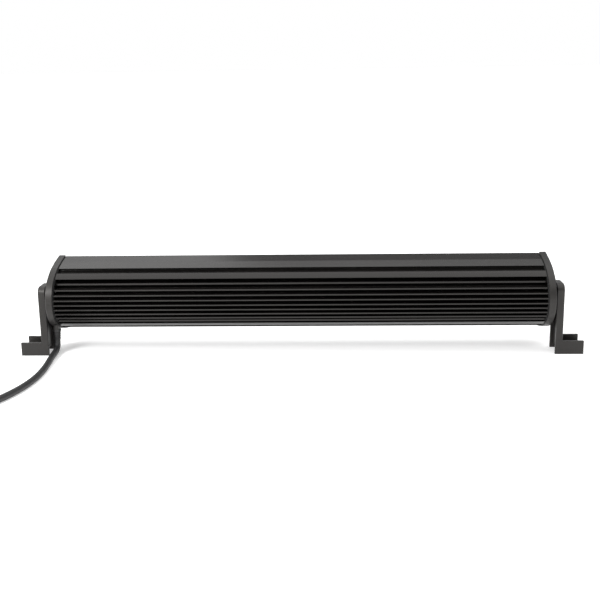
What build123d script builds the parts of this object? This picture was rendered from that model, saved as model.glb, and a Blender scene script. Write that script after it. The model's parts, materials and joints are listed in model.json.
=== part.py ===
"""LED light bar: finned extrusion, two end caps, two swinging foot brackets, optics and a pigtail lead.

Millimetres. +X runs along the bar towards the end with the lead, +Y is the finned rear, +Z is up.
The feet stand on Z = 0 and the origin is midway between them, under the middle of the bar.
"""
import os
from math import cos, pi, radians, sin, sqrt, tan

from build123d import *

# ---------------------------------------------------------------- driving dimensions
half_length = 280.0           # outer face of an end cap
cap_thickness = 7.7
gasket_thickness = 0.8
cap_proud = 1.2               # the cap's rim stands this far outside the extrusion
body_depth = 65.5
body_half_height = 42.0
body_mid_z = 60.8
wall = 3.2

half_body = half_length - cap_thickness - gasket_thickness
body_rear = (body_depth + 2 * cap_proud) / 2 - cap_proud

# Section of the extrusion: depth measured forward from the rearmost point, height from mid height.
nose_depth, nose_height = 13.0, 24.5
shoulder_depth, shoulder_height = 28.0, 32.65
slot_lip = (31.4, 34.0)       # a flat facet runs from here to the crease
crease_depth, crease_height = 47.0, 38.3

# Fins
fin_count = 9
fin_pitch = 5.25
fin_mid_z = 59.2
fin_tip = 1.4
fin_root = 2.5
fin_root_depth = 30.0
fin_tip_radius = 22.4
fin_tip_inset = 0.2
band_edge_height = 25.6       # the smooth bands start at this height above and below mid height

# Dark slots above and below the fins, as (depth, height) round the slot from its lip nearest the fins
slot_profile = [(12.0, 33.0), (22.6, 30.2), (31.0, 30.2), (33.6, 31.6),
                (33.3, 33.3), slot_lip, (20.0, 42.0)]

# Front chamber
base_front_depth = 34.0
chamber_half_height, chamber_corner_depth = 29.4, 36.5
rail_depths = (51.0, 60.8)
rail_lead_in = 0.8            # the chamber wall rises this much between the crease and the rails
rail_height = 31.0
recess_height = 39.2

# Screw ports that run the length of the extrusion, as (depth, height)
front_port = (55.8, 34.9)
rear_port = (26.0, 18.2)
cap_screw_radius = 2.0
cap_screw_head_radius = 3.9
port_boss_radius = 4.2
thread_fit = 0.03             # a screw's radius is this much under its hole's
small_screw_radius = 1.5
board_screw_height = 27.0     # rows of board screws above and below mid height

# LEDs and optics
led_columns, led_pitch, row_height = 20, 26.5, 13.25
board_thickness = 1.6
board_length, board_height = 534.0, 58.0
cup_front_radius, cup_back_radius, cup_shell = 12.0, 4.6, 1.1
cup_back_depth, cup_front_depth = 37.2, 59.4

# Front window
lens_back_depth, lens_front_depth = 61.8, 64.8
trim_front_depth = 66.4
trim_inner_height = 32.0
trim_screw_columns, trim_screw_pitch = 7, 84.0

# Brackets
bracket_inner = 282.4
arm_thickness = 8.0
arm_web = 4.5
bracket_width = 30.6
bracket_rear = 25.5
bracket_wall = 3.3
arm_top = 78.7
arm_corner = 8.0
foot_outer = 313.3
foot_height = 14.8
foot_web_bottom, foot_web_top = 3.5, 8.0
slot_width, slot_length = 8.5, 15.0
pivot_z = 60.0

# Pivot hardware
bolt_radius = 3.97
bolt_seat_radius = 4.0
bolt_end_gap = 1.2
bush_outer_radius, bush_bore_radius = 5.5, 4.05
head_recess_radius, head_recess = 8.6, 4.0
pivot_gap = 0.1
washer_radius, washer_thickness = 8.0, 1.0
spring_washer_radius, spring_washer_thickness = 6.6, 1.0
bolt_head_radius, bolt_head_height, bolt_head_round = 7.0, 2.4, 1.4
bolt_socket_radius, bolt_socket_depth = 2.9, 1.6

# Lead
cable_diameter = 7.0
outlet_x, outlet_y = 275.6, 11.7
outlet_seat_z = 27.2
gland_neck_top = 35.6
boot_top_radius, boot_end_radius = 4.6, 3.9
boot_end_z = 15.5
coil_radius = 39.0
coil_centre = (338.7, 191.8)
coil_start_angle = 131.3
coil_bottom, coil_layer, coil_width = 1.1, 7.2, 7.2
coil_top_turn = 110.0         # degrees of the upper layer past the first full turn
coil_ramp = 60.0              # degrees over which the cord climbs onto the first turn

pivot_y = bracket_rear - bracket_width / 2


def y_at(depth):
    """Y of a point so far forward of the rearmost point of the extrusion."""
    return body_rear - depth


def save(part, name):
    """Label a finished piece and write its file."""
    part.label = name
    export_step(part, f"parts/{name}.step")


def section_outline():
    """Closed D-shaped outline of the extrusion, drawn in the current line builder."""
    front, top = y_at(body_depth), body_mid_z + body_half_height
    bottom = body_mid_z - body_half_height
    upper = [(y_at(d), body_mid_z + h) for d, h in (
        (nose_depth, nose_height), (shoulder_depth, shoulder_height),
        slot_lip, (crease_depth, crease_height))]
    lower = [(y, 2 * body_mid_z - z) for y, z in upper]
    ThreePointArc(lower[0], (y_at(0), body_mid_z), upper[0])
    ThreePointArc(*upper[:3])
    Polyline(*upper[2:], (front, top), (front, bottom), *reversed(lower[2:]))
    ThreePointArc(*reversed(lower[:3]))


def mirrored_points(depth, height):
    """The same point above and below mid height."""
    return [(y_at(depth), body_mid_z + height), (y_at(depth), body_mid_z - height)]


os.makedirs("parts", exist_ok=True)

# ---------------------------------------------------------------- housing
tip_low, tip_high = body_mid_z - band_edge_height, body_mid_z + band_edge_height
fin_heights = [fin_mid_z + (i - (fin_count - 1) / 2) * fin_pitch for i in range(fin_count)]

with BuildPart() as housing:
    with BuildSketch(Plane.YZ.offset(-half_body)):
        with BuildLine():
            section_outline()
        make_face()
        # square fin tips that follow a tighter curve than the end caps
        for height in fin_heights:
            rise = height - fin_mid_z
            fin_tip_y = y_at(fin_tip_inset + fin_tip_radius) + sqrt(fin_tip_radius ** 2 - rise ** 2)
            with Locations((fin_tip_y, height)):
                Rectangle(2 * fin_tip_radius, fin_pitch, align=(Align.MIN, Align.CENTER), mode=Mode.SUBTRACT)
        # gaps between the fins, and between the outer fins and the smooth bands
        edges = [tip_low - fin_tip / 2, *fin_heights, tip_high + fin_tip / 2]
        root_y, tip_y = y_at(fin_root_depth), y_at(-2 * cap_proud)
        for below, above in zip(edges, edges[1:]):
            with BuildLine():
                Polyline((root_y, below + fin_root / 2), (tip_y, below + fin_tip / 2),
                         (tip_y, above - fin_tip / 2), (root_y, above - fin_root / 2), close=True)
            make_face(mode=Mode.SUBTRACT)
        # slots beside the fins, then the front chamber with its screw rails and the seat of the window
        for side in (1, -1):
            slot = [(y_at(depth), body_mid_z + side * height) for depth, height in slot_profile]
            with BuildLine():
                Polyline(*slot, close=True)
            make_face(mode=Mode.SUBTRACT)
            with BuildLine():
                Polyline(
                    (y_at(base_front_depth), body_mid_z),
                    (y_at(base_front_depth), body_mid_z + side * chamber_half_height),
                    (y_at(chamber_corner_depth), body_mid_z + side * chamber_half_height),
                    (y_at(crease_depth), body_mid_z + side * (crease_height - wall)),
                    (y_at(rail_depths[0]), body_mid_z + side * (crease_height - wall + rail_lead_in)),
                    (y_at(rail_depths[0]), body_mid_z + side * rail_height),
                    (y_at(rail_depths[1]), body_mid_z + side * rail_height),
                    (y_at(rail_depths[1]), body_mid_z + side * recess_height),
                    (y_at(body_depth + 1), body_mid_z + side * recess_height),
                    (y_at(body_depth + 1), body_mid_z),
                    close=True)
            make_face(mode=Mode.SUBTRACT)
        with Locations(*mirrored_points(*rear_port)):
            Circle(port_boss_radius)
        with Locations(*mirrored_points(*rear_port), *mirrored_points(*front_port)):
            Circle(cap_screw_radius, mode=Mode.SUBTRACT)
    extrude(amount=2 * half_body)
    # tapped holes for the LED board and for the window trims
    with Locations(Plane.XZ.offset(-y_at(base_front_depth))):
        with Locations((0, body_mid_z)):
            with GridLocations(4 * led_pitch, 2 * board_screw_height, 5, 2):
                Cylinder(small_screw_radius, 7.0, mode=Mode.SUBTRACT)
    with Locations(Plane.XZ.offset(-y_at(rail_depths[1]))):
        with Locations((0, body_mid_z)):
            with GridLocations(trim_screw_pitch, 2 * front_port[1], trim_screw_columns, 2):
                Cylinder(small_screw_radius, 16.0, mode=Mode.SUBTRACT)
save(housing.part, "housing")

# ---------------------------------------------------------------- end caps and their gaskets
inner_x = half_length - cap_thickness
pocket_depth, pocket_rim = 5.2, 4.0
panel_depth, panel_rim = 0.8, 6.0
with BuildPart() as end_cap_blank:
    with BuildSketch(Plane.YZ.offset(inner_x)):
        with BuildLine():
            section_outline()
        make_face()
        offset(amount=cap_proud)
    extrude(amount=cap_thickness)
    fillet(end_cap_blank.faces().sort_by(Axis.X)[-1].edges(), cap_proud)
    # pocket on the inside, left solid around the pivot and the screws
    with BuildSketch(Plane.YZ.offset(inner_x)):
        with BuildLine():
            section_outline()
        make_face()
        offset(amount=-pocket_rim)
        with Locations((pivot_y, pivot_z)):
            Circle(9.0, mode=Mode.SUBTRACT)
        with Locations(*mirrored_points(*rear_port), *mirrored_points(*front_port)):
            Circle(port_boss_radius + 0.6, mode=Mode.SUBTRACT)
    extrude(amount=pocket_depth, mode=Mode.SUBTRACT)
    # sunk panel on the outside around the pivot boss
    with BuildSketch(Plane.YZ.offset(half_length)):
        with BuildLine():
            section_outline()
        make_face()
        offset(amount=-panel_rim)
        with Locations((pivot_y, pivot_z)):
            Circle(13.0, mode=Mode.SUBTRACT)
    extrude(amount=-panel_depth, mode=Mode.SUBTRACT)
    # holes for the four cap screws, countersunk from outside
    with Locations(Plane.YZ.offset(half_length - panel_depth)):
        with Locations(*mirrored_points(*rear_port), *mirrored_points(*front_port)):
            CounterSinkHole(cap_screw_radius + 0.1, cap_screw_head_radius, depth=cap_thickness)
    # blind thread for the pivot bolt
    with Locations(Plane.YZ.offset(half_length)):
        with Locations((pivot_y, pivot_z)):
            Cylinder(bolt_seat_radius, 2 * (cap_thickness - bolt_end_gap), mode=Mode.SUBTRACT)

# outlet boss for the lead under the cap at the +X end, flat on its inner side
outlet_boss_radius, outlet_boss_height = 5.2, 6.5
outlet_neck_radius, outlet_neck_top = 3.1, 37.0
with BuildPart() as outlet_boss:
    with BuildSketch(Plane.XY.offset(outlet_seat_z)):
        with Locations((outlet_x, outlet_y)):
            Circle(outlet_boss_radius)
        with Locations((inner_x, outlet_y)):
            Rectangle(2 * outlet_boss_radius, 2 * outlet_boss_radius, align=(Align.MAX, Align.CENTER),
                      mode=Mode.SUBTRACT)
    extrude(amount=outlet_boss_height)

with BuildPart() as end_cap_left:
    add(end_cap_blank.part)
    add(outlet_boss.part)
    with BuildSketch(Plane.XY.offset(outlet_seat_z)):
        with Locations((outlet_x, outlet_y)):
            Circle(outlet_neck_radius)
    extrude(amount=outlet_neck_top - outlet_seat_z, mode=Mode.SUBTRACT)
save(end_cap_left.part, "end_cap_left")

with BuildPart() as end_cap_right:
    add(mirror(end_cap_blank.part, about=Plane.YZ, mode=Mode.PRIVATE))
    # thread for the breather in the sunk panel
    vent_depth, vent_height, vent_radius = 46.0, -22.0, 2.5
    with Locations((-half_length, y_at(vent_depth), body_mid_z + vent_height)):
        Cylinder(vent_radius, 2 * cap_thickness, rotation=(0, 90, 0), mode=Mode.SUBTRACT)
save(end_cap_right.part, "end_cap_right")

with BuildPart() as cap_gasket_left:
    with BuildSketch(Plane.YZ.offset(half_body)):
        with BuildLine():
            section_outline()
        make_face()
        offset(amount=-0.4)
    extrude(amount=gasket_thickness)
    with BuildSketch(Plane.YZ.offset(half_body)):
        with BuildLine():
            section_outline()
        make_face()
        offset(amount=-pocket_rim)
        with Locations(*mirrored_points(*front_port)):
            Circle(port_boss_radius, mode=Mode.SUBTRACT)
    extrude(amount=gasket_thickness, mode=Mode.SUBTRACT)
    with Locations(Plane.YZ.offset(half_body)):
        with Locations(*mirrored_points(*front_port)):
            Cylinder(cap_screw_radius + 0.1, 4 * gasket_thickness, mode=Mode.SUBTRACT)
save(cap_gasket_left.part, "cap_gasket_left")

with BuildPart() as cap_gasket_right:
    add(mirror(cap_gasket_left.part, about=Plane.YZ, mode=Mode.PRIVATE))
save(cap_gasket_right.part, "cap_gasket_right")

with BuildPart() as end_cap_screws_left:
    screw_reach = 14.0
    head_depth, head_radius = 1.8, cap_screw_head_radius - 0.15
    with Locations(Plane.YZ.offset(half_length - panel_depth)):
        with Locations(*mirrored_points(*rear_port), *mirrored_points(*front_port)):
            with Locations((0, 0, -cap_thickness - screw_reach)):
                Cylinder(cap_screw_radius - thread_fit, cap_thickness + screw_reach,
                         align=(Align.CENTER, Align.CENTER, Align.MIN))
            with Locations((0, 0, -head_depth - 0.05)):
                Cone(cap_screw_radius - thread_fit, head_radius, head_depth,
                     align=(Align.CENTER, Align.CENTER, Align.MIN))
            Cylinder(1.25, 2.6, mode=Mode.SUBTRACT)
save(end_cap_screws_left.part, "end_cap_screws_left")

with BuildPart() as end_cap_screws_right:
    add(mirror(end_cap_screws_left.part, about=Plane.YZ, mode=Mode.PRIVATE))
save(end_cap_screws_right.part, "end_cap_screws_right")

# ---------------------------------------------------------------- front window
window_length = 2 * half_body - 0.4
with BuildPart() as lens_gasket:
    gasket_height = 2 * recess_height - 0.2
    with BuildSketch(Plane.XZ.offset(-y_at(rail_depths[1]))):
        with Locations((0, body_mid_z)):
            RectangleRounded(window_length, gasket_height, 1.0)
            RectangleRounded(window_length - 12.0, 2 * trim_inner_height + 1.0, 2.0, mode=Mode.SUBTRACT)
            with GridLocations(trim_screw_pitch, 2 * front_port[1], trim_screw_columns, 2):
                Circle(1.7, mode=Mode.SUBTRACT)
    extrude(amount=lens_back_depth - rail_depths[1])
save(lens_gasket.part, "lens_gasket")

with BuildPart() as front_lens:
    with BuildSketch(Plane.XZ.offset(-y_at(lens_back_depth))):
        with Locations((0, body_mid_z)):
            RectangleRounded(window_length, gasket_height, 1.0)
            with GridLocations(trim_screw_pitch, 2 * front_port[1], trim_screw_columns, 2):
                Circle(1.7, mode=Mode.SUBTRACT)
    extrude(amount=lens_front_depth - lens_back_depth)
save(front_lens.part, "front_lens")

for name, side in (("lens_trim_upper", 1), ("lens_trim_lower", -1)):
    with BuildPart() as lens_trim:
        trim_height = recess_height - 0.1 - trim_inner_height
        trim_z = body_mid_z + side * (trim_inner_height + trim_height / 2)
        with BuildSketch(Plane.XZ.offset(-y_at(lens_front_depth))):
            with Locations((0, trim_z)):
                Rectangle(window_length, trim_height)
        extrude(amount=trim_front_depth - lens_front_depth)
        front_edges = lens_trim.faces().sort_by(Axis.Y)[0].edges().filter_by(Axis.X)
        chamfer(front_edges, 0.6)
        with Locations(Plane.XZ.offset(-y_at(trim_front_depth))):
            with Locations((0, body_mid_z + side * front_port[1])):
                with GridLocations(trim_screw_pitch, 1, trim_screw_columns, 1):
                    CounterSinkHole(1.6, 2.6, depth=4.0)
    save(lens_trim.part, name)

with BuildPart() as trim_screws:
    trim_screw_length = 9.0
    with Locations(Plane.XZ.offset(-y_at(trim_front_depth))):
        with Locations((0, body_mid_z)):
            with GridLocations(trim_screw_pitch, 2 * front_port[1], trim_screw_columns, 2):
                with Locations((0, 0, -trim_screw_length)):
                    Cylinder(small_screw_radius - thread_fit, trim_screw_length,
                             align=(Align.CENTER, Align.CENTER, Align.MIN))
                with Locations((0, 0, -1.1)):
                    Cone(small_screw_radius - thread_fit, 2.45, 1.0,
                         align=(Align.CENTER, Align.CENTER, Align.MIN))
                Cylinder(0.9, 1.6, mode=Mode.SUBTRACT)
save(trim_screws.part, "trim_screws")

# ---------------------------------------------------------------- LED board and optics
with BuildPart() as led_board:
    with BuildSketch(Plane.XZ.offset(-y_at(base_front_depth))):
        with Locations((0, body_mid_z)):
            RectangleRounded(board_length, board_height, 2.0)
            with GridLocations(4 * led_pitch, 2 * board_screw_height, 5, 2):
                Circle(small_screw_radius + 0.1, mode=Mode.SUBTRACT)
    extrude(amount=board_thickness)
save(led_board.part, "led_board")

led_plane = Plane.XZ.offset(-y_at(base_front_depth + board_thickness))
with BuildPart() as led_chips:
    with Locations(led_plane):
        with Locations((0, body_mid_z)):
            with GridLocations(led_pitch, 2 * row_height, led_columns, 2):
                Box(5.0, 5.0, 0.8, align=(Align.CENTER, Align.CENTER, Align.MIN))
                with Locations((0, 0, 0.8)):
                    Cone(1.9, 1.3, 0.7, align=(Align.CENTER, Align.CENTER, Align.MIN))
save(led_chips.part, "led_chips")

with BuildPart() as led_board_screws:
    board_screw_reach = 3.2
    with Locations(led_plane):
        with Locations((0, body_mid_z)):
            with GridLocations(4 * led_pitch, 2 * board_screw_height, 5, 2):
                with Locations((0, 0, -board_thickness - board_screw_reach)):
                    Cylinder(small_screw_radius - thread_fit, board_thickness + board_screw_reach,
                             align=(Align.CENTER, Align.CENTER, Align.MIN))
                Cylinder(2.3, 1.1, align=(Align.CENTER, Align.CENTER, Align.MIN))
save(led_board_screws.part, "led_board_screws")

with BuildPart(mode=Mode.PRIVATE) as cup:
    cup_length = cup_front_depth - cup_back_depth
    cup_mid = (cup_length * 0.45, cup_back_radius + 0.66 * (cup_front_radius - cup_back_radius))
    with BuildSketch(Plane.XZ):
        with BuildLine():
            inner = ThreePointArc((cup_back_radius, 0), (cup_mid[1], cup_mid[0]),
                                  (cup_front_radius, cup_length))
            Line(inner @ 1, (cup_front_radius + cup_shell, cup_length))
            outer = ThreePointArc((cup_front_radius + cup_shell, cup_length),
                                  (cup_mid[1] + cup_shell, cup_mid[0] - 0.3),
                                  (cup_back_radius + cup_shell, 0))
            Line(outer @ 1, inner @ 0)
        make_face()
    revolve(axis=Axis.Z)

for name, side in (("reflector_upper", 1), ("reflector_lower", -1)):
    with BuildPart() as reflector:
        with BuildSketch(Plane.XZ.offset(-y_at(cup_front_depth))):
            with Locations((0, body_mid_z + side * row_height)):
                Rectangle(board_length, 2 * row_height - 0.2)
                with GridLocations(led_pitch, 1, led_columns, 1):
                    Circle(cup_front_radius, mode=Mode.SUBTRACT)
        extrude(amount=cup_shell)
        with Locations(Plane.XZ.offset(-y_at(cup_back_depth))):
            with Locations((0, body_mid_z + side * row_height)):
                with GridLocations(led_pitch, 1, led_columns, 1):
                    add(cup.part)
    save(reflector.part, name)

# ---------------------------------------------------------------- driver
driver_y, driver_z = y_at(45.6), body_mid_z - 28.2
driver_length, driver_width = 200.0, 11.0
with BuildPart() as driver_board:
    with Locations((0, driver_y, driver_z)):
        Box(driver_length, driver_width, 1.2, align=(Align.CENTER, Align.CENTER, Align.MAX))
save(driver_board.part, "driver_board")

parts_z = driver_z - 1.2
with BuildPart() as driver_coils:
    with Locations((0, driver_y, parts_z)):
        with GridLocations(32, 1, 5, 1):
            Box(9.0, 8.0, 0.8, align=(Align.CENTER, Align.CENTER, Align.MAX))
            with Locations((0, 0, -0.8)):
                Cylinder(3.6, 1.8, align=(Align.CENTER, Align.CENTER, Align.MAX))
save(driver_coils.part, "driver_coils")

with BuildPart() as driver_capacitors:
    with Locations((0, driver_y, parts_z)):
        with GridLocations(32, 1, 4, 1):
            Cylinder(3.0, 2.4, align=(Align.CENTER, Align.CENTER, Align.MAX))
save(driver_capacitors.part, "driver_capacitors")

with BuildPart() as driver_chips:
    with Locations((0, driver_y, parts_z)):
        with GridLocations(176, 1, 2, 1):
            Box(7.0, 5.0, 1.4, align=(Align.CENTER, Align.CENTER, Align.MAX))
save(driver_chips.part, "driver_chips")

# ---------------------------------------------------------------- breather
with BuildPart() as breather_vent:
    vent_plane = Plane(origin=(panel_depth - half_length, y_at(vent_depth), body_mid_z + vent_height),
                       z_dir=(-1, 0, 0))
    with BuildSketch(vent_plane):
        RegularPolygon(4.5, 6)
    extrude(amount=1.9)
    with Locations(vent_plane):
        Cylinder(vent_radius - 0.03, 5.0, align=(Align.CENTER, Align.CENTER, Align.MAX))
        with Locations((0, 0, 1.9)):
            Cylinder(3.2, 0.5, align=(Align.CENTER, Align.CENTER, Align.MIN))
save(breather_vent.part, "breather_vent")

# ---------------------------------------------------------------- brackets
arm_edge_round, arm_head, foot_root_round, pivot_boss_radius = 1.8, 4.0, 2.2, 12.2
foot_mid_x = (bracket_inner + arm_thickness + foot_outer) / 2 + 1.0
with BuildPart() as bracket_left:
    outer_x = bracket_inner + arm_thickness
    inner_width = bracket_width - 2 * bracket_wall
    with BuildSketch(Plane.YZ.offset(bracket_inner)):
        with Locations((pivot_y, arm_top / 2)):
            Rectangle(bracket_width, arm_top)
    extrude(amount=arm_thickness)
    fillet(bracket_left.edges().filter_by(Axis.X).group_by(Axis.Z)[-1], arm_corner)
    outer_edges = bracket_left.faces().sort_by(Axis.X)[-1].edges()
    fillet(outer_edges - outer_edges.group_by(Axis.Z)[0], arm_edge_round)
    with BuildSketch(Plane.XY):
        with Locations(((outer_x - 1 + foot_outer) / 2, pivot_y)):
            Rectangle(foot_outer - outer_x + 1, bracket_width)
    extrude(amount=foot_height)
    # square the arm off where the foot's walls meet it
    with Locations((bracket_inner + arm_thickness / 2, pivot_y, 0)):
        Box(arm_thickness, bracket_width, foot_height, align=(Align.CENTER, Align.CENTER, Align.MIN))
    # channel on top of the foot, open at its outer end, with a rounded root at the arm
    with BuildSketch(Plane.XZ.offset(-(pivot_y + inner_width / 2))):
        with BuildLine():
            Polyline((outer_x, foot_height + 1), (outer_x, foot_web_top + foot_root_round))
            RadiusArc((outer_x, foot_web_top + foot_root_round),
                      (outer_x + foot_root_round, foot_web_top), -foot_root_round)
            Polyline((outer_x + foot_root_round, foot_web_top), (foot_outer + 1, foot_web_top),
                     (foot_outer + 1, foot_height + 1), (outer_x, foot_height + 1))
        make_face()
    extrude(amount=inner_width, mode=Mode.SUBTRACT)
    # pocket under the foot and up the inner side of the arm
    with BuildSketch(Plane.XZ.offset(-(pivot_y + inner_width / 2))):
        with BuildLine():
            Polyline((bracket_inner - 1, -1), (foot_outer + 1, -1), (foot_outer + 1, foot_web_bottom),
                     (outer_x - arm_web + 2.0, foot_web_bottom), (outer_x - arm_web, foot_web_bottom + 2.0),
                     (outer_x - arm_web, arm_top - arm_head), (bracket_inner - 1, arm_top - arm_head),
                     close=True)
        make_face()
    extrude(amount=inner_width, mode=Mode.SUBTRACT)
    # boss around the pivot, bored for the bush and sunk outside for the bolt head
    with Locations(Plane.YZ.offset(bracket_inner)):
        with Locations((pivot_y, pivot_z)):
            Cylinder(pivot_boss_radius, arm_thickness - 1, align=(Align.CENTER, Align.CENTER, Align.MIN))
            with Locations((0, 0, arm_thickness - head_recess)):
                Cylinder(head_recess_radius, head_recess,
                         align=(Align.CENTER, Align.CENTER, Align.MIN), mode=Mode.SUBTRACT)
            Cylinder(bush_outer_radius, 3 * arm_thickness, mode=Mode.SUBTRACT)
    with BuildSketch(Plane.XY.offset(foot_web_bottom - 1)):
        with Locations((foot_mid_x, pivot_y)):
            SlotOverall(slot_length, slot_width)
    extrude(amount=foot_web_top - foot_web_bottom + 2, mode=Mode.SUBTRACT)
save(bracket_left.part, "bracket_left")

with BuildPart() as bracket_right:
    add(mirror(bracket_left.part, about=Plane.YZ, mode=Mode.PRIVATE))
save(bracket_right.part, "bracket_right")


# ---------------------------------------------------------------- pivots
def ring(start_x, thickness, outer_radius, inner_radius):
    """Ring about the pivot axis, from start_x outwards, in the current part."""
    with Locations(Plane.YZ.offset(start_x)):
        with Locations((pivot_y, pivot_z)):
            Cylinder(outer_radius, thickness, align=(Align.CENTER, Align.CENTER, Align.MIN))
            if inner_radius:
                Cylinder(inner_radius, 3 * thickness, mode=Mode.SUBTRACT)


recess_x = bracket_inner + arm_thickness - head_recess
spring_x = recess_x + pivot_gap + washer_thickness
head_start_x = spring_x + spring_washer_thickness

with BuildPart() as friction_washer:
    ring(half_length, bracket_inner - half_length - pivot_gap, 11.0, bolt_seat_radius + 0.1)
with BuildPart() as pivot_bush:
    ring(bracket_inner + 0.2, arm_thickness - head_recess - 0.4, bush_outer_radius - 0.02, bush_bore_radius)
with BuildPart() as pivot_washer:
    ring(recess_x + pivot_gap, washer_thickness, washer_radius, bolt_seat_radius + 0.1)
with BuildPart() as spring_washer:
    ring(spring_x, spring_washer_thickness, spring_washer_radius, bolt_seat_radius + 0.1)
    with Locations((spring_x, pivot_y + 5.3, pivot_z)):
        Box(4, 3.4, 0.8, rotation=(25, 0, 0), mode=Mode.SUBTRACT)
with BuildPart() as pivot_bolt:
    bolt_tip_x = half_length - cap_thickness + bolt_end_gap + 0.3
    ring(bolt_tip_x, head_start_x - bolt_tip_x, bolt_radius, 0)
    ring(head_start_x, bolt_head_height, bolt_head_radius, 0)
    fillet(pivot_bolt.faces().sort_by(Axis.X)[-1].edges(), bolt_head_round)
    with BuildSketch(Plane.YZ.offset(head_start_x + bolt_head_height)):
        with Locations((pivot_y, pivot_z)):
            RegularPolygon(bolt_socket_radius, 6)
    extrude(amount=-bolt_socket_depth, mode=Mode.SUBTRACT)

for name, piece in (("friction_washer", friction_washer), ("pivot_bush", pivot_bush),
                    ("pivot_washer", pivot_washer), ("spring_washer", spring_washer),
                    ("pivot_bolt", pivot_bolt)):
    save(piece.part, name + "_left")
    with BuildPart() as other_side:
        add(mirror(piece.part, about=Plane.YZ, mode=Mode.PRIVATE))
    save(other_side.part, name + "_right")


# ---------------------------------------------------------------- leads
def fillet_radii(points, share=0.45):
    """Largest tangent arcs that the runs beside each corner of a route allow."""
    radii = []
    for before, here, after in zip(points, points[1:], points[2:]):
        run_in, run_out = Vector(*here) - Vector(*before), Vector(*after) - Vector(*here)
        half_turn = radians(run_in.get_angle(run_out)) / 2
        radii.append(share * min(run_in.length, run_out.length) / tan(half_turn))
    return radii


def tube(points, diameter):
    """Round tube along straight runs joined by tangent arcs, in the current part."""
    with BuildLine() as route:
        FilletPolyline(*points, radius=fillet_radii(points))
    path = route.wires()[0]
    with BuildSketch(Plane(origin=path @ 0, z_dir=path % 0)) as round_section:
        Circle(diameter / 2)
    sweep(round_section.sketch, path=path)
    return path.length


# supply wires from the outlet neck, through the cap and along the lower corner to the driver board
wire_diameter, wire_side = 1.8, 1.1
wire_z, wire_y = driver_z - 0.6, driver_y
for name, lane in (("supply_wire_red", wire_side), ("supply_wire_black", -wire_side)):
    with BuildPart() as supply_wire:
        in_cap = [(outlet_y, gland_neck_top), (outlet_y, gland_neck_top + 1.4),
                  (outlet_y - 4.2, gland_neck_top + 1.1), (0.0, wire_z + 1.0)]
        along_bar = [(outlet_x - 2.0, wire_y + 4.0, wire_z - 0.4), (outlet_x - 9.0, wire_y, wire_z),
                     (driver_length / 2 + 40.0, wire_y + 0.4, wire_z + 0.3),
                     (driver_length / 2 + 0.1, wire_y, wire_z)]
        tube([(outlet_x - 0.4 + lane, y - lane, z) for y, z in in_cap]
             + [(x + lane, y - lane, z) for x, y, z in along_bar[:-1]]
             + [(along_bar[-1][0], along_bar[-1][1] - lane, along_bar[-1][2])], wire_diameter)
    save(supply_wire.part, name)

with BuildPart() as cable_gland:
    gland_flange = 2.0
    with Locations((outlet_x, outlet_y, outlet_seat_z)):
        Cylinder(outlet_neck_radius - 0.05, gland_neck_top - outlet_seat_z,
                 align=(Align.CENTER, Align.CENTER, Align.MIN))
        Cylinder(outlet_boss_radius - 0.2, gland_flange, align=(Align.CENTER, Align.CENTER, Align.MAX))
save(cable_gland.part, "cable_gland")

with BuildPart() as strain_relief:
    boot_top_z = outlet_seat_z - gland_flange
    with Locations((outlet_x, outlet_y, boot_end_z)):
        Cone(boot_end_radius, boot_top_radius, boot_top_z - boot_end_z,
             align=(Align.CENTER, Align.CENTER, Align.MIN))
save(strain_relief.part, "strain_relief")

coil_z = coil_bottom + coil_layer / 2
coil_x, coil_y = coil_centre
coil_start = (coil_x + coil_radius * cos(radians(coil_start_angle)),
              coil_y + coil_radius * sin(radians(coil_start_angle)), coil_z)
cable_points = [
    (outlet_x, outlet_y, boot_end_z),
    (275.6, 12.3, 9.8),
    (275.4, 16.8, 5.4),
    (275.0, 26.0, 3.9),
    (274.0, 44.0, 3.75),
    (270.6, 72.0, 3.75),
    (268.7, 101.0, 3.75),
    (270.4, 131.0, 3.75),
    (276.6, 160.0, 3.75),
    (286.0, 186.0, 3.9),
    (297.0, 206.0, 4.4),
    coil_start,
]
with BuildPart() as power_cable:
    cable_length = tube(cable_points, cable_diameter)
save(power_cable.part, "power_cable")
print("cable arcs, mm:", [round(r, 1) for r in fillet_radii(cable_points)])
print("cable length, mm:", round(cable_length, 1),
      "volume ratio:", round(power_cable.part.volume / (cable_length * pi * cable_diameter ** 2 / 4), 4))

top_end_angle = coil_start_angle - coil_top_turn
with BuildPart() as cable_coil:
    with BuildSketch(Plane.XY.offset(coil_bottom)):
        with Locations(coil_centre):
            Circle(coil_radius + coil_width / 2)
            Circle(coil_radius - coil_width / 2, mode=Mode.SUBTRACT)
    extrude(amount=coil_layer)
    with BuildSketch(Plane.XY.offset(coil_bottom + coil_layer)):
        with BuildLine():
            CenterArc(coil_centre, coil_radius, top_end_angle, coil_top_turn + coil_ramp)
        trace(line_width=coil_width)
    extrude(amount=coil_layer)
save(cable_coil.part, "cable_coil")

with BuildPart() as cable_tie:
    tie_angle, tie_thickness, tie_width = radians(85.0), 1.0, 3.6
    tie_plane = Plane(origin=(coil_x + coil_radius * cos(tie_angle), coil_y + coil_radius * sin(tie_angle),
                              coil_bottom + coil_layer), x_dir=(cos(tie_angle), sin(tie_angle), 0),
                      z_dir=(sin(tie_angle), -cos(tie_angle), 0))
    inside_w, inside_h = coil_width + 0.5, 2 * coil_layer + 0.1
    with BuildSketch(tie_plane):
        RectangleRounded(inside_w + 2 * tie_thickness, inside_h + 2 * tie_thickness, 1.5)
        Rectangle(inside_w, inside_h, mode=Mode.SUBTRACT)
    extrude(amount=tie_width / 2, both=True)
    with BuildSketch(tie_plane):
        with Locations((inside_w / 2 + tie_thickness + 1.6, 0)):
            RectangleRounded(3.6, 5.6, 0.6)
    extrude(amount=2.6, both=True)
save(cable_tie.part, "cable_tie")

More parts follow.
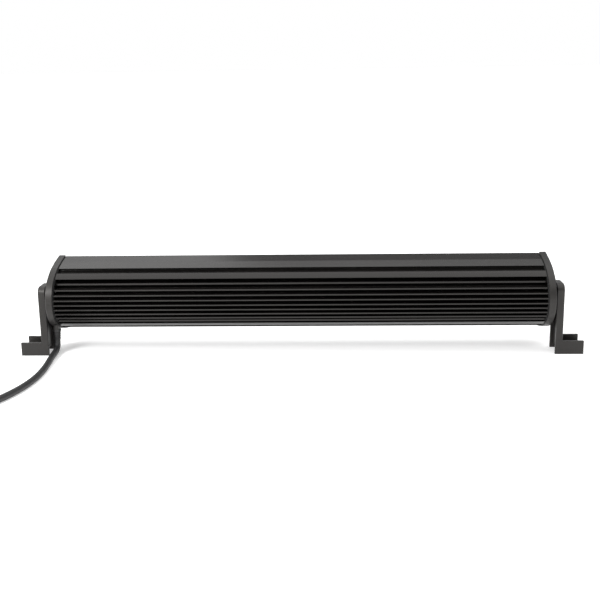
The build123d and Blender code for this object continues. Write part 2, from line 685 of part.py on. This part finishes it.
# two-pole plug lying across the coil
plug_angle = radians(top_end_angle)
plug_z = coil_bottom + coil_layer + 8.3
plug_x, plug_y = coil_x + coil_radius * cos(plug_angle), coil_y + coil_radius * sin(plug_angle)
plug_plane = Plane(origin=(plug_x, plug_y, plug_z),
                   z_dir=(sin(plug_angle), -cos(plug_angle), 0))
with BuildPart() as plug_body:
    with Locations(plug_plane):
        Cone(4.6, 6.6, 10.0, align=(Align.CENTER, Align.CENTER, Align.MIN))
        with Locations((0, 0, 10.0)):
            Cylinder(6.6, 24.0, align=(Align.CENTER, Align.CENTER, Align.MIN))
        with Locations((0, 0, 22.0)):
            Cylinder(5.4, 13.0, align=(Align.CENTER, Align.CENTER, Align.MIN), mode=Mode.SUBTRACT)
save(plug_body.part, "plug_body")

with BuildPart() as plug_collar:
    with Locations(plug_plane):
        with Locations((0, 0, 12.0)):
            Cylinder(8.1, 9.0, align=(Align.CENTER, Align.CENTER, Align.MIN))
            Cylinder(6.65, 30.0, mode=Mode.SUBTRACT)
            with PolarLocations(8.3, 12):
                Cylinder(0.9, 30.0, mode=Mode.SUBTRACT)
save(plug_collar.part, "plug_collar")

with BuildPart() as plug_seal:
    with Locations(plug_plane):
        with Locations((0, 0, 30.0)):
            Cylinder(7.1, 2.0, align=(Align.CENTER, Align.CENTER, Align.MIN))
            Cylinder(6.62, 12.0, mode=Mode.SUBTRACT)
save(plug_seal.part, "plug_seal")

with BuildPart() as plug_pins:
    with Locations(plug_plane):
        with Locations((0, 0, 22.0)):
            with GridLocations(4.6, 1, 2, 1):
                Cylinder(0.8, 9.0, align=(Align.CENTER, Align.CENTER, Align.MIN))
save(plug_pins.part, "plug_pins")
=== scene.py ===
"""Looks for the LED light bar: materials on the CAD nodes, the free lead, a ribbed boot, and a plain studio.

Metres, in the CAD's frame: +X towards the end with the lead, +Y the finned rear, +Z up, floor at Z = 0.
The lead and its boot are laid out in millimetres, as in the CAD, and MM turns them into metres.
"""
import json
from math import cos, pi, radians, sin

import bmesh
import bpy
from mathutils import Matrix, Vector


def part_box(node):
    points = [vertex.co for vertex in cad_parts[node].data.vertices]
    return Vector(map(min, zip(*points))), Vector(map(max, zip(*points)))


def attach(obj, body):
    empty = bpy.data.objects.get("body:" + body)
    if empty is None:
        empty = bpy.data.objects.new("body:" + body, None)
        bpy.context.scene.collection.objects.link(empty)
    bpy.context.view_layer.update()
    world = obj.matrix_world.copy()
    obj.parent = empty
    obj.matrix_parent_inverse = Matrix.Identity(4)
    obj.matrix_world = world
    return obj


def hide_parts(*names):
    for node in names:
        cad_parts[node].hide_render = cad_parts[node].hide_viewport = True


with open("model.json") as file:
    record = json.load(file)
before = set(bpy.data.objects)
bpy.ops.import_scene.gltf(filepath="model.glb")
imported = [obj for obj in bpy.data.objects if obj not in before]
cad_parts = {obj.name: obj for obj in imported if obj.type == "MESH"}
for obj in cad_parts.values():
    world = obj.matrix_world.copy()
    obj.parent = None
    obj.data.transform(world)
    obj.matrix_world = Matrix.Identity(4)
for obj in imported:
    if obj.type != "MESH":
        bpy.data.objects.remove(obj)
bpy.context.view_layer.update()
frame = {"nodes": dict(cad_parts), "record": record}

MM = 0.001

# ------------------------------------------------------------------ camera
AIM = Vector((-0.0006, 0.0, 0.0568))      # near the middle of the bar
CAMERA_DISTANCE = 1.0906
CAMERA_TURN = radians(2.38)               # off the +Y axis, towards -X
CAMERA_RISE = radians(13.63)              # above the level of AIM
CAMERA_ROLL = radians(-0.87)
LENS = 58.04                              # millimetres, as is the sensor
SENSOR_WIDTH = 36.0
CLIP_START = 0.01


def make_camera():
    """Behind the bar and above it, looking at AIM."""
    forward = Vector((sin(CAMERA_TURN) * cos(CAMERA_RISE), -cos(CAMERA_TURN) * cos(CAMERA_RISE),
                      -sin(CAMERA_RISE)))
    level = Vector((-cos(CAMERA_TURN), -sin(CAMERA_TURN), 0.0))
    upward = level.cross(forward)
    right = level * cos(CAMERA_ROLL) + upward * sin(CAMERA_ROLL)
    above = upward * cos(CAMERA_ROLL) - level * sin(CAMERA_ROLL)
    data = bpy.data.cameras.new("camera")
    data.lens = LENS
    data.sensor_width = SENSOR_WIDTH
    data.clip_start = CLIP_START
    camera = bpy.data.objects.new("camera", data)
    axes = Matrix((right, above, -forward)).transposed().to_4x4()
    camera.matrix_world = Matrix.Translation(AIM - forward * CAMERA_DISTANCE) @ axes
    bpy.context.scene.collection.objects.link(camera)
    bpy.context.scene.camera = camera


make_camera()

# ------------------------------------------------------------------ node helpers
NOISE_ROUGHNESS = 0.55
BEVEL_SAMPLES = 4


def new_material(name):
    """A material with its principled shader and object coordinates."""
    material = bpy.data.materials.new(name)
    material.use_nodes = True
    tree = material.node_tree
    shader = tree.nodes["Principled BSDF"]
    coordinates = tree.nodes.new("ShaderNodeTexCoord").outputs["Object"]
    return material, tree, shader, coordinates


def noise(tree, coordinates, scale, detail):
    """Noise value at so many features per metre."""
    node = tree.nodes.new("ShaderNodeTexNoise")
    node.inputs["Scale"].default_value = scale
    node.inputs["Detail"].default_value = detail
    node.inputs["Roughness"].default_value = NOISE_ROUGHNESS
    tree.links.new(coordinates, node.inputs["Vector"])
    return node.outputs["Fac"]


def blend_colours(tree, factor, low_colour, high_colour, spread=(0.3, 0.7)):
    """One colour up to the start of the spread, the other from its end on."""
    ramp = tree.nodes.new("ShaderNodeValToRGB")
    ramp.color_ramp.elements[0].position, ramp.color_ramp.elements[1].position = spread
    ramp.color_ramp.elements[0].color = (*low_colour, 1.0)
    ramp.color_ramp.elements[1].color = (*high_colour, 1.0)
    tree.links.new(factor, ramp.inputs["Fac"])
    return ramp.outputs["Color"]


def remap(tree, value, low, high):
    """A value from 0 to 1 turned into one from low to high."""
    node = tree.nodes.new("ShaderNodeMapRange")
    node.inputs["To Min"].default_value = low
    node.inputs["To Max"].default_value = high
    tree.links.new(value, node.inputs["Value"])
    return node.outputs["Result"]


def bump(tree, shader, height, distance, edge_radius):
    """Fine relief of that depth, with the edges rounded in the shading."""
    rounded = tree.nodes.new("ShaderNodeBevel")
    rounded.samples = BEVEL_SAMPLES
    rounded.inputs["Radius"].default_value = edge_radius
    node = tree.nodes.new("ShaderNodeBump")
    node.inputs["Distance"].default_value = distance
    tree.links.new(height, node.inputs["Height"])
    tree.links.new(rounded.outputs["Normal"], node.inputs["Normal"])
    tree.links.new(node.outputs["Normal"], shader.inputs["Normal"])


# ------------------------------------------------------------------ materials
COAT_TONE = 14.0                               # features per metre, as are the next two
MOULDED_TONE = 60.0
HAZE = 35.0
COAT_SPECULAR = 0.4
COAT_REFLECTION = (1.0, 0.965, 0.94, 1.0)      # slightly warm
CLEAR_GLOSS_ROUGHNESS = 0.25
METAL_GRAIN_DEPTH = 0.00001
METAL_EDGE_RADIUS = 0.00015
WINDOW_IOR = 1.2


def coated_metal(name, dark, light, roughness, grain, grain_depth, coat, edge_radius):
    """Black powder coat: fine orange peel, slow tone changes and a clear gloss of weight coat."""
    material, tree, shader, place = new_material(name)
    tone = noise(tree, place, COAT_TONE, detail=3.0)
    speck = noise(tree, place, grain, detail=2.0)
    tree.links.new(blend_colours(tree, tone, dark, light), shader.inputs["Base Color"])
    tree.links.new(remap(tree, speck, *roughness), shader.inputs["Roughness"])
    shader.inputs["Specular IOR Level"].default_value = COAT_SPECULAR
    shader.inputs["Specular Tint"].default_value = COAT_REFLECTION
    shader.inputs["Coat Weight"].default_value = coat
    shader.inputs["Coat Roughness"].default_value = CLEAR_GLOSS_ROUGHNESS
    bump(tree, shader, speck, grain_depth, edge_radius)
    return material


def moulded(name, dark, light, roughness, grain=1600.0, grain_depth=0.00003, edge_radius=0.0003):
    """Moulded plastic or rubber with a fine matte texture."""
    material, tree, shader, place = new_material(name)
    tone = noise(tree, place, MOULDED_TONE, detail=4.0)
    speck = noise(tree, place, grain, detail=3.0)
    tree.links.new(blend_colours(tree, tone, dark, light), shader.inputs["Base Color"])
    tree.links.new(remap(tree, speck, *roughness), shader.inputs["Roughness"])
    bump(tree, shader, speck, grain_depth, edge_radius)
    return material


def metal(name, dark, light, roughness, grain=500.0):
    """Bare metal with fine tool marks."""
    material, tree, shader, place = new_material(name)
    marks = noise(tree, place, grain, detail=5.0)
    tree.links.new(blend_colours(tree, marks, dark, light), shader.inputs["Base Color"])
    tree.links.new(remap(tree, marks, *roughness), shader.inputs["Roughness"])
    shader.inputs["Metallic"].default_value = 1.0
    bump(tree, shader, marks, METAL_GRAIN_DEPTH, METAL_EDGE_RADIUS)
    return material


def clear_window(name, dark, light, roughness):
    """Clear polycarbonate with a faint haze."""
    material, tree, shader, place = new_material(name)
    haze = noise(tree, place, HAZE, detail=5.0)
    tree.links.new(blend_colours(tree, haze, dark, light), shader.inputs["Base Color"])
    tree.links.new(remap(tree, haze, *roughness), shader.inputs["Roughness"])
    shader.inputs["Transmission Weight"].default_value = 1.0
    shader.inputs["IOR"].default_value = WINDOW_IOR
    return material


def make_materials():
    """One material for each slot: its two tones, then the range of its roughness."""
    return {
        "powder_coat": coated_metal("powder_coat", (0.0035, 0.0032, 0.003), (0.0065, 0.006, 0.0055),
                                    (0.20, 0.28), grain=900.0, grain_depth=0.00001,
                                    coat=0.0, edge_radius=0.0003),
        "cast_coat": coated_metal("cast_coat", (0.007, 0.0066, 0.0062), (0.014, 0.013, 0.012),
                                  (0.36, 0.52), grain=1300.0, grain_depth=0.00007,
                                  coat=0.10, edge_radius=0.0006),
        "gasket_rubber": moulded("gasket_rubber", (0.006, 0.006, 0.006), (0.012, 0.012, 0.012), (0.7, 0.9)),
        "lens_clear": clear_window("lens_clear", (0.96, 0.98, 0.98), (1.0, 1.0, 1.0), (0.01, 0.05)),
        "stainless": metal("stainless", (0.42, 0.42, 0.42), (0.62, 0.61, 0.60), (0.22, 0.4)),
        "board_white": moulded("board_white", (0.72, 0.72, 0.70), (0.80, 0.80, 0.78), (0.35, 0.5)),
        "led_yellow": moulded("led_yellow", (0.75, 0.50, 0.04), (0.90, 0.68, 0.10), (0.3, 0.45)),
        "reflector": metal("reflector", (0.80, 0.80, 0.82), (0.90, 0.90, 0.91), (0.04, 0.12), grain=120.0),
        "board_green": moulded("board_green", (0.01, 0.10, 0.04), (0.02, 0.16, 0.06), (0.3, 0.45)),
        "part_black": moulded("part_black", (0.012, 0.012, 0.013), (0.024, 0.024, 0.025), (0.42, 0.6)),
        "part_metal": metal("part_metal", (0.55, 0.55, 0.56), (0.7, 0.7, 0.7), (0.25, 0.4)),
        "wire_red": moulded("wire_red", (0.38, 0.012, 0.01), (0.5, 0.03, 0.02), (0.4, 0.55)),
        "wire_black": moulded("wire_black", (0.01, 0.01, 0.01), (0.02, 0.02, 0.02), (0.4, 0.55)),
        "cable_jacket": moulded("cable_jacket", (0.012, 0.012, 0.0125), (0.022, 0.022, 0.023), (0.48, 0.66),
                                grain=900.0, grain_depth=0.00005),
        "nylon": moulded("nylon", (0.62, 0.60, 0.55), (0.72, 0.70, 0.65), (0.4, 0.55)),
        "black_nylon": moulded("black_nylon", (0.012, 0.012, 0.012), (0.022, 0.022, 0.022), (0.35, 0.5)),
        "seal_orange": moulded("seal_orange", (0.60, 0.10, 0.015), (0.75, 0.17, 0.03), (0.45, 0.6)),
        "pin_brass": metal("pin_brass", (0.60, 0.44, 0.18), (0.75, 0.58, 0.28), (0.2, 0.35)),
    }


materials = make_materials()


def finish_with(piece, slot):
    """Gives a piece the one material of that slot."""
    piece.data.materials.clear()
    piece.data.materials.append(materials[slot])


for part in frame["record"]["subparts"]:
    finish_with(frame["nodes"][part["node"]], part["material_slot"])

# ------------------------------------------------------------------ the lead
CABLE_DIAMETER = 7.0 * MM
OUTLET = (275.6, 11.7)             # the upright axis of the boot

COIL_CENTRE = (338.7, 191.8)
COIL_RADIUS = 39.0
COIL_START = 131.3                 # degrees, where the lead meets the coil
COIL_LOW, COIL_HIGH = 4.7, 11.9    # centre heights of the lower and the upper layer
COIL_STEP = 22.5                   # about so many degrees between points
COIL_TOP_TURN = 110.0              # degrees past the full turn
CLIMB_START, CLIMB_END = 120.0, 32.0   # degrees before the full turn
PLUG_Z = 16.6                      # centre height of the lead's end, in the plug
PLUG_RISE = 0.6                    # share of the rise to the plug made by the point before the last

LEAD_ROUTE = [
    (275.6, 11.7, 17.0),
    (275.6, 12.3, 9.8),
    (275.4, 16.8, 5.4),
    (275.0, 26.0, 3.9),
    (274.0, 44.0, 3.75),
    (270.6, 72.0, 3.75),
    (268.7, 101.0, 3.75),
    (270.4, 131.0, 3.75),
    (276.6, 160.0, 3.75),
    (286.0, 186.0, 3.9),
    (297.0, 206.0, 4.4),
]


def coil_point(turned, radius, height):
    angle = radians(COIL_START - turned)
    return (COIL_CENTRE[0] + radius * cos(angle), COIL_CENTRE[1] + radius * sin(angle), height)


def coil_route():
    """One turn on the floor, then on top of its own start, ending in the plug.

    The points lie a little outside the coil, because the spline cuts inside them.
    """
    corner_radius = COIL_RADIUS / cos(radians(COIL_STEP / 2))
    last = 360.0 + COIL_TOP_TURN
    steps = round(last / COIL_STEP)
    points = []
    for step in range(steps):
        turned = last * step / steps
        climb = min(max((turned - 360.0 + CLIMB_START) / (CLIMB_START - CLIMB_END), 0.0), 1.0)
        height = COIL_LOW + (COIL_HIGH - COIL_LOW) * climb
        points.append(coil_point(turned, corner_radius, height))
    points[-1] = (*points[-1][:2], COIL_HIGH + PLUG_RISE * (PLUG_Z - COIL_HIGH))
    points.append(coil_point(last, COIL_RADIUS, PLUG_Z))
    return points


def make_lead():
    """The whole free lead as one curve, from the boot to the plug."""
    curve = bpy.data.curves.new("power_lead", "CURVE")
    curve.dimensions = "3D"
    curve.bevel_depth = CABLE_DIAMETER / 2
    curve.bevel_resolution = 6
    curve.use_fill_caps = True
    spline = curve.splines.new("NURBS")
    points = LEAD_ROUTE + coil_route()
    spline.points.add(len(points) - 1)
    for point, place in zip(spline.points, points):
        point.co = (*(value * MM for value in place), 1.0)
    spline.order_u = 3
    spline.use_endpoint_u = True
    spline.resolution_u = 10
    lead = bpy.data.objects.new("power_lead", curve)
    bpy.context.scene.collection.objects.link(lead)
    finish_with(lead, "cable_jacket")
    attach(lead, "light_body")
    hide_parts("power_cable", "cable_coil")
    return lead


# ------------------------------------------------------------------ the boot
BOOT_END_RADIUS, BOOT_TOP_RADIUS = 3.95, 4.5
BOOT_RIBS = 4                      # they stand between five grooves
GROOVE_DEPTH = 0.55
GROOVE_FLATNESS = 0.6              # under 1 widens the floor of each groove
PLAIN_FROM = 0.95                  # share of the height above which there is no groove
LIP_SHARE, LIP_DEPTH = 0.04, 0.35  # the lower edge is chamfered
BOOT_RINGS, BOOT_SIDES = 40, 40


def boot_radius(share):
    """Radius at a share of the boot's height, counted from its lower end."""
    if share < LIP_SHARE:
        return BOOT_END_RADIUS - LIP_DEPTH * (1 - share / LIP_SHARE)
    taper = BOOT_END_RADIUS + (BOOT_TOP_RADIUS - BOOT_END_RADIUS) * share
    if share > PLAIN_FROM:
        return taper
    wave = max(0.0, sin(share * (BOOT_RIBS + 0.5) * 2 * pi))
    return taper - GROOVE_DEPTH * wave ** GROOVE_FLATNESS


def make_boot():
    """Ribbed rubber boot, turned about the outlet, tapering down to the lead."""
    low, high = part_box("strain_relief")
    mesh = bmesh.new()
    rows = []
    for ring in range(BOOT_RINGS + 1):
        share = ring / BOOT_RINGS
        radius = boot_radius(share)
        z = low.z + (high.z - low.z) * share
        rows.append([mesh.verts.new((OUTLET[0] * MM + radius * MM * cos(2 * pi * i / BOOT_SIDES),
                                     OUTLET[1] * MM + radius * MM * sin(2 * pi * i / BOOT_SIDES), z))
                     for i in range(BOOT_SIDES)])
    for lower, upper in zip(rows, rows[1:]):
        for i in range(BOOT_SIDES):
            j = (i + 1) % BOOT_SIDES
            mesh.faces.new((lower[i], lower[j], upper[j], upper[i]))
    mesh.faces.new(list(reversed(rows[0])))
    mesh.faces.new(rows[-1])
    data = bpy.data.meshes.new("lead_boot")
    mesh.to_mesh(data)
    mesh.free()
    data.polygons.foreach_set("use_smooth", [True] * len(data.polygons))
    boot = bpy.data.objects.new("lead_boot", data)
    bpy.context.scene.collection.objects.link(boot)
    finish_with(boot, "cable_jacket")
    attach(boot, "light_body")
    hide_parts("strain_relief")


lead = make_lead()
make_boot()

# ------------------------------------------------------------------ studio
FLOOR_REACH = 60.0                        # from the middle to each side
FLOOR_TONE = 3.0                          # features per metre
FLOOR_ROUGHNESS = 0.9
FLOOR_GLOW = 0.38                         # enough for the paper to read as white
WHITE = (1.0, 1.0, 1.0)
OVERHEAD_GREY = (0.22, 0.22, 0.22)
GREY_FROM, GREY_FULL = 0.12, 0.4          # sine of the height in the sky
FILL_STRENGTH = 2.5
FILL_ANGLE = radians(99)                  # very wide, so that its shadow is soft


def make_floor():
    data = bpy.data.meshes.new("floor")
    corners = [(-FLOOR_REACH, -FLOOR_REACH, 0), (FLOOR_REACH, -FLOOR_REACH, 0),
               (FLOOR_REACH, FLOOR_REACH, 0), (-FLOOR_REACH, FLOOR_REACH, 0)]
    data.from_pydata(corners, [], [(0, 1, 2, 3)])
    floor = bpy.data.objects.new("floor", data)
    bpy.context.scene.collection.objects.link(floor)
    material, tree, shader, place = new_material("floor_paper")
    tone = noise(tree, place, FLOOR_TONE, detail=2.0)
    paper = blend_colours(tree, tone, (0.93, 0.93, 0.93), (0.95, 0.95, 0.95))
    tree.links.new(paper, shader.inputs["Base Color"])
    shader.inputs["Roughness"].default_value = FLOOR_ROUGHNESS
    shader.inputs["Emission Color"].default_value = (*WHITE, 1.0)
    shader.inputs["Emission Strength"].default_value = FLOOR_GLOW
    data.materials.append(material)


def make_world():
    """White round about and below, turning to grey overhead."""
    world = bpy.data.worlds.new("studio")
    world.use_nodes = True
    tree = world.node_tree
    background = tree.nodes["Background"]
    height = tree.nodes.new("ShaderNodeSeparateXYZ")
    tree.links.new(tree.nodes.new("ShaderNodeTexCoord").outputs["Generated"], height.inputs["Vector"])
    tint = blend_colours(tree, height.outputs["Z"], WHITE, OVERHEAD_GREY, spread=(GREY_FROM, GREY_FULL))
    tree.links.new(tint, background.inputs["Color"])
    background.inputs["Strength"].default_value = 1.0
    bpy.context.scene.world = world
    bpy.context.scene.view_settings.view_transform = "Standard"


def make_fill():
    """A wide sun from straight above."""
    sun = bpy.data.lights.new("fill", "SUN")
    sun.energy = FILL_STRENGTH
    sun.angle = FILL_ANGLE
    fill = bpy.data.objects.new("fill", sun)
    bpy.context.scene.collection.objects.link(fill)


def make_panel(name, place, aim, width, height, power):
    """A rectangular light that draws a long highlight on the dark coat."""
    data = bpy.data.lights.new(name, "AREA")
    data.shape = "RECTANGLE"
    data.size = width
    data.size_y = height
    data.energy = power
    panel = bpy.data.objects.new(name, data)
    panel.location = place
    panel.rotation_euler = (Vector(aim) - Vector(place)).to_track_quat("-Z", "Y").to_euler()
    bpy.context.scene.collection.objects.link(panel)


make_floor()
make_world()
make_fill()
make_panel("key", place=(0.95, 0.95, 0.85), aim=(0.42, 0.3, 0.0), width=0.5, height=0.5, power=18.0)
make_panel("back_panel", place=(0.68, -1.25, 1.05), aim=(0.15, 0.0, 0.1), width=0.9, height=0.5, power=1.5)
